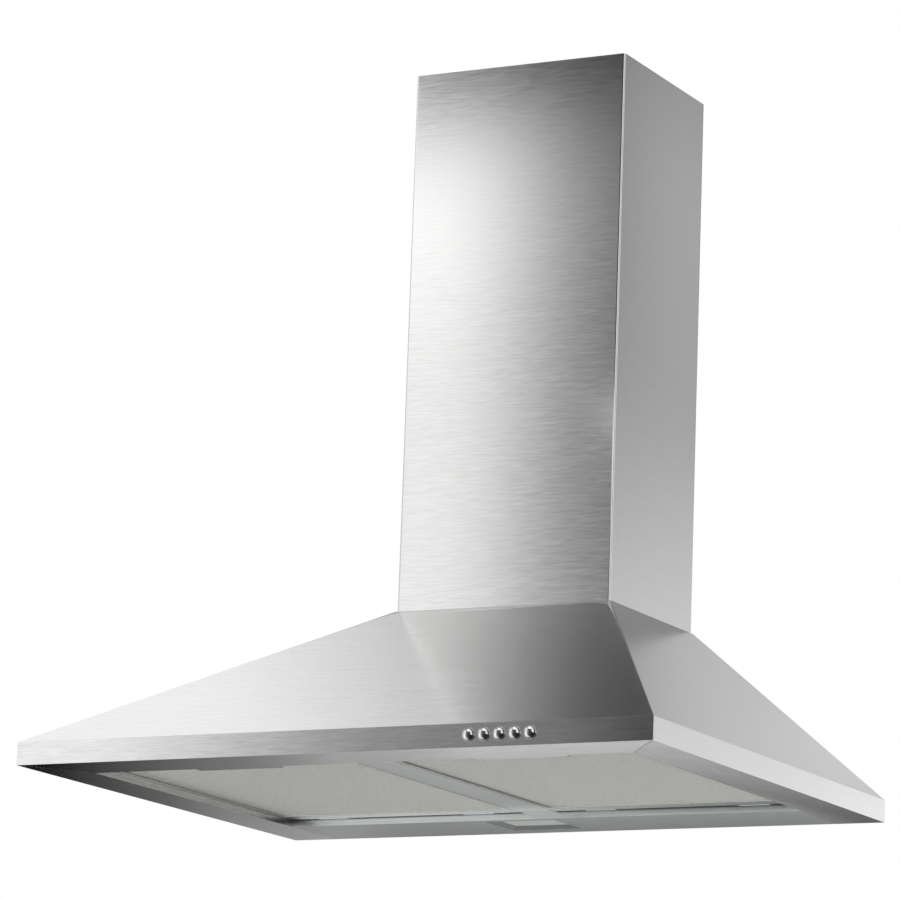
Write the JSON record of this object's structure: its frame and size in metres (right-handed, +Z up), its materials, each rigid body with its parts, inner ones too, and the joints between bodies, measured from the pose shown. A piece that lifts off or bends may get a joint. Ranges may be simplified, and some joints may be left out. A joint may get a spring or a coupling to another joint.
{
  "type": "range hood",
  "caption": "Wall-mounted pyramid range hood: steel canopy with push buttons, hinged grease filters, lamp, centrifugal blower, duct collar with flaps and a telescopic chimney",
  "frame": {"origin": "On the wall plane, at mid-width, level with the hood's lower edge.", "axes": "+Y points into the wall, +Z up towards the ceiling, +X to the right for someone facing the hood."},
  "size_m": [0.6, 0.504, 0.686],
  "materials": {
    "brushed_steel": "brushed",
    "panel_steel": "satin",
    "galvanised_steel": "galvanised",
    "filter_frame_aluminium": "satin",
    "filter_mesh_aluminium": "mill",
    "spring_steel": "bright",
    "grey_plastic": "matte",
    "chrome": "polished",
    "black_plastic": "matte",
    "lens": "frosted",
    "circuit_board": "solder mask",
    "zinc_screws": "zinc plated",
    "bright_steel": "ground",
    "motor_paint": "satin",
    "bearing_bronze": "sintered",
    "white_plastic": "matte"
  },
  "bodies": {
    "hood": {"canopy": "brushed_steel", "hanging_plate": "galvanised_steel", "outer_chimney": "brushed_steel", "lamp_panel": "panel_steel", "filter_divider": "panel_steel", "button_bezels": "chrome", "switch_block": "black_plastic", "switch_cradle": "galvanised_steel", "switch_screws": "zinc_screws", "lamp_bezel": "grey_plastic", "lamp_lens": "lens", "lamp_housing": "galvanised_steel", "led_board": "circuit_board", "blower_box": "galvanised_steel", "blower_box_screws": "zinc_screws", "duct_collar": "black_plastic", "collar_screws": "zinc_screws", "flap_pin": "bright_steel", "scroll_front": "black_plastic", "scroll_rear": "black_plastic", "casing_screws": "zinc_screws", "scroll_screws": "zinc_screws", "motor_case": "motor_paint", "motor_bushes": "bearing_bronze", "motor_spider": "motor_paint", "motor_screws": "zinc_screws", "capacitor": "white_plastic", "capacitor_clip": "galvanised_steel", "terminal_box": "grey_plastic", "terminal_cover": "grey_plastic", "terminal_strip": "black_plastic", "cable_gland": "black_plastic", "gland_nut": "black_plastic"},
    "chimney_extension": {"inner_chimney": "brushed_steel", "wall_bracket": "galvanised_steel"},
    "left_filter": {"left_filter_frame": "filter_frame_aluminium", "left_filter_mesh": "filter_mesh_aluminium", "left_filter_hooks": "spring_steel", "left_latch_plate": "panel_steel", "left_latch_guide": "grey_plastic", "left_latch_spring": "spring_steel"},
    "left_latch": {"left_latch_slider": "grey_plastic"},
    "right_filter": {"right_filter_frame": "filter_frame_aluminium", "right_filter_mesh": "filter_mesh_aluminium", "right_filter_hooks": "spring_steel", "right_latch_plate": "panel_steel", "right_latch_guide": "grey_plastic", "right_latch_spring": "spring_steel"},
    "right_latch": {"right_latch_slider": "grey_plastic"},
    "blower_wheel": {"blower_wheel": "black_plastic", "motor_shaft": "bright_steel"},
    "front_flap": {"front_flap": "black_plastic"},
    "rear_flap": {"rear_flap": "black_plastic"},
    "light_button": {"light_button": "chrome"},
    "stop_button": {"stop_button": "chrome"},
    "low_speed_button": {"low_speed_button": "chrome"},
    "mid_speed_button": {"mid_speed_button": "chrome"},
    "high_speed_button": {"high_speed_button": "chrome"}
  },
  "joints": [
    {"name": "chimney_extension_slide", "type": "slide", "parent": "hood", "child": "chimney_extension", "axis": [0, 0, 1], "range_m": [0, 0.4]},
    {"name": "left_filter_hinge", "type": "hinge", "parent": "hood", "child": "left_filter", "pos_m": [0, -0.088, 0.0075], "axis": [1, 0, 0], "range_deg": [0, 60]},
    {"name": "left_latch_slide", "type": "slide", "parent": "left_filter", "child": "left_latch", "axis": [0, 1, 0], "range_m": [-0.004, 0.005], "stiffness_N_per_m": 150, "springref_m": -0.006, "deforming": ["left_latch_spring"]},
    {"name": "right_filter_hinge", "type": "hinge", "parent": "hood", "child": "right_filter", "pos_m": [0, -0.088, 0.0075], "axis": [1, 0, 0], "range_deg": [0, 60]},
    {"name": "right_latch_slide", "type": "slide", "parent": "right_filter", "child": "right_latch", "axis": [0, 1, 0], "range_m": [-0.004, 0.005], "stiffness_N_per_m": 150, "springref_m": -0.006, "deforming": ["right_latch_spring"]},
    {"name": "blower_spin", "type": "hinge", "parent": "hood", "child": "blower_wheel", "pos_m": [0.028, -0.089, 0.29], "axis": [0, 1, 0], "continuous": true},
    {"name": "front_flap_hinge", "type": "hinge", "parent": "hood", "child": "front_flap", "pos_m": [0, -0.089, 0.44], "axis": [-1, 0, 0], "range_deg": [0, 75]},
    {"name": "rear_flap_hinge", "type": "hinge", "parent": "hood", "child": "rear_flap", "pos_m": [0, -0.089, 0.44], "axis": [1, 0, 0], "range_deg": [0, 75]},
    {"name": "light_button_press", "type": "slide", "parent": "hood", "child": "light_button", "axis": [0, 1, 0], "range_m": [0, 0.0035], "stiffness_N_per_m": 300, "springref_m": -0.002},
    {"name": "stop_button_press", "type": "slide", "parent": "hood", "child": "stop_button", "axis": [0, 1, 0], "range_m": [0, 0.0035], "stiffness_N_per_m": 300, "springref_m": -0.002},
    {"name": "low_speed_button_press", "type": "slide", "parent": "hood", "child": "low_speed_button", "axis": [0, 1, 0], "range_m": [0, 0.0035], "stiffness_N_per_m": 300, "springref_m": -0.002},
    {"name": "mid_speed_button_press", "type": "slide", "parent": "hood", "child": "mid_speed_button", "axis": [0, 1, 0], "range_m": [0, 0.0035], "stiffness_N_per_m": 300, "springref_m": -0.002},
    {"name": "high_speed_button_press", "type": "slide", "parent": "hood", "child": "high_speed_button", "axis": [0, 1, 0], "range_m": [0, 0.0035], "stiffness_N_per_m": 300, "springref_m": -0.002}
  ]
}
